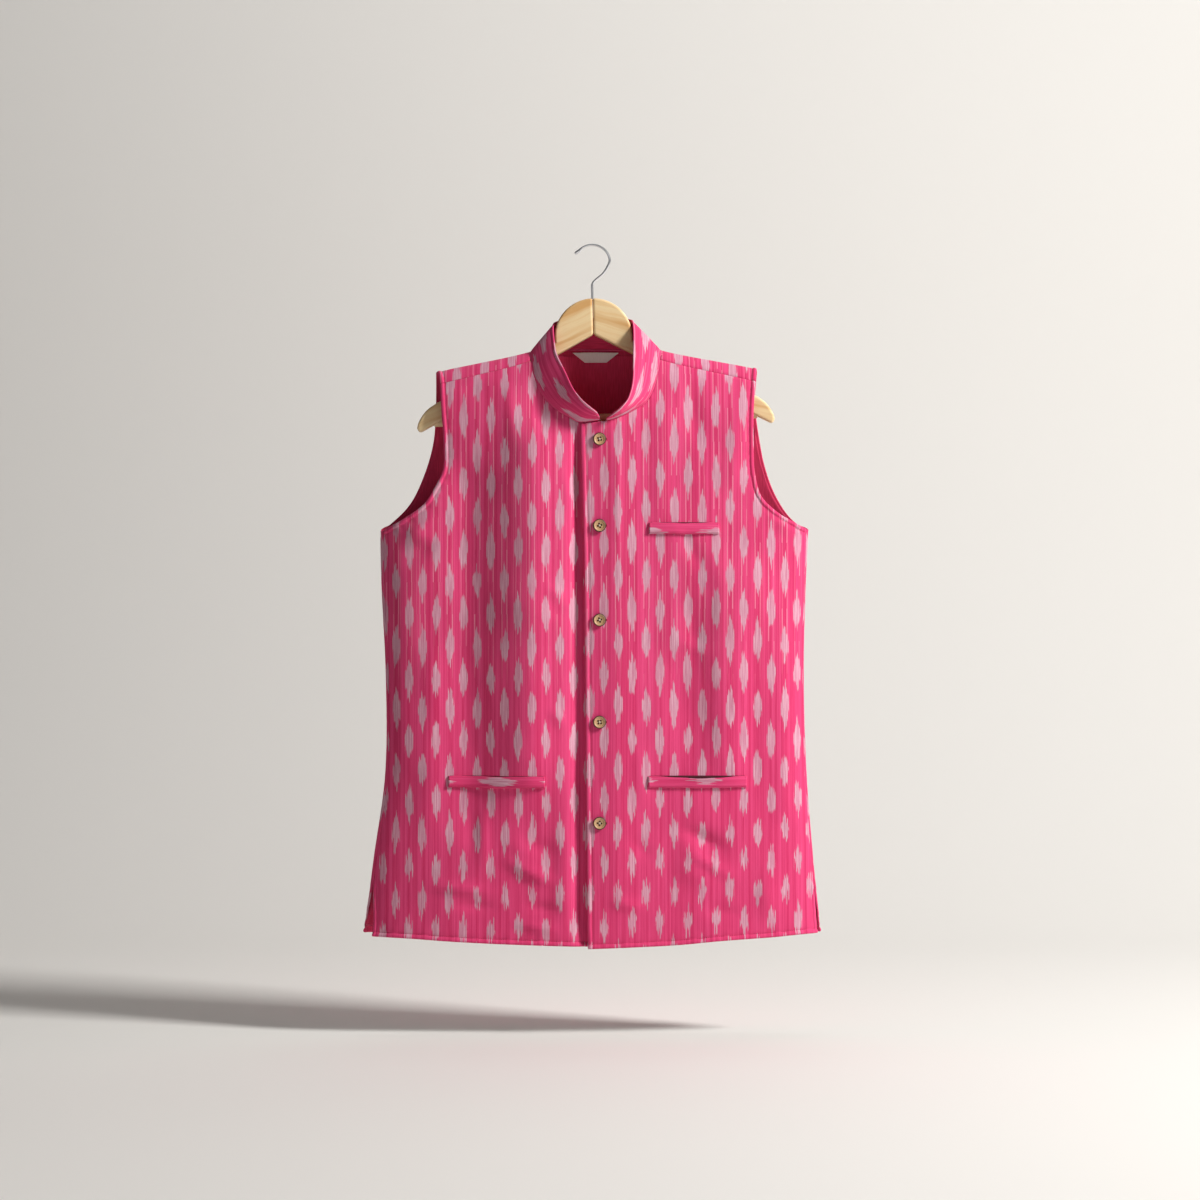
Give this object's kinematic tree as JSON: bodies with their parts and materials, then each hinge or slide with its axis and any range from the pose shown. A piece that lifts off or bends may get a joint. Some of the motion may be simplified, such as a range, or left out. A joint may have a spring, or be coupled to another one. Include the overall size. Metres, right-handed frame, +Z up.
{
  "type": "nehru jacket on a hanger",
  "caption": "Sleeveless stand-collared jacket of pink ikat cotton, buttoned down the front and hung on a wooden hanger.",
  "frame": {"origin": "top of the inside of the hook's crook, the point that the hanger hangs from", "axes": "+Z up along the height, -Y out of the jacket's front, +X towards the wearer's left"},
  "size_m": [0.568, 0.0888, 0.8749],
  "materials": {
    "ikat_cotton": "matte hand-woven cotton with a warp ikat in dusty pink",
    "plain_cotton": "matte plain lining",
    "woven_label": "plain woven tape",
    "coconut_shell": "smooth, half matte",
    "lacquered_pine": "clear satin lacquer",
    "steel_wire": "plated wire"
  },
  "bodies": {
    "root": {"front_left": "ikat_cotton", "front_right": "ikat_cotton", "back": "ikat_cotton", "back_lining": "plain_cotton", "collar": "ikat_cotton", "collar_facing": "plain_cotton", "welt_chest": "ikat_cotton", "welt_lower_left": "ikat_cotton", "welt_lower_right": "ikat_cotton", "label": "woven_label", "button_1": "coconut_shell", "button_2": "coconut_shell", "button_3": "coconut_shell", "button_4": "coconut_shell", "button_5": "coconut_shell", "hanger_arm_left": "lacquered_pine", "hanger_arm_right": "lacquered_pine", "trouser_bar": "lacquered_pine", "hook": "steel_wire"}
  },
  "joints": []
}
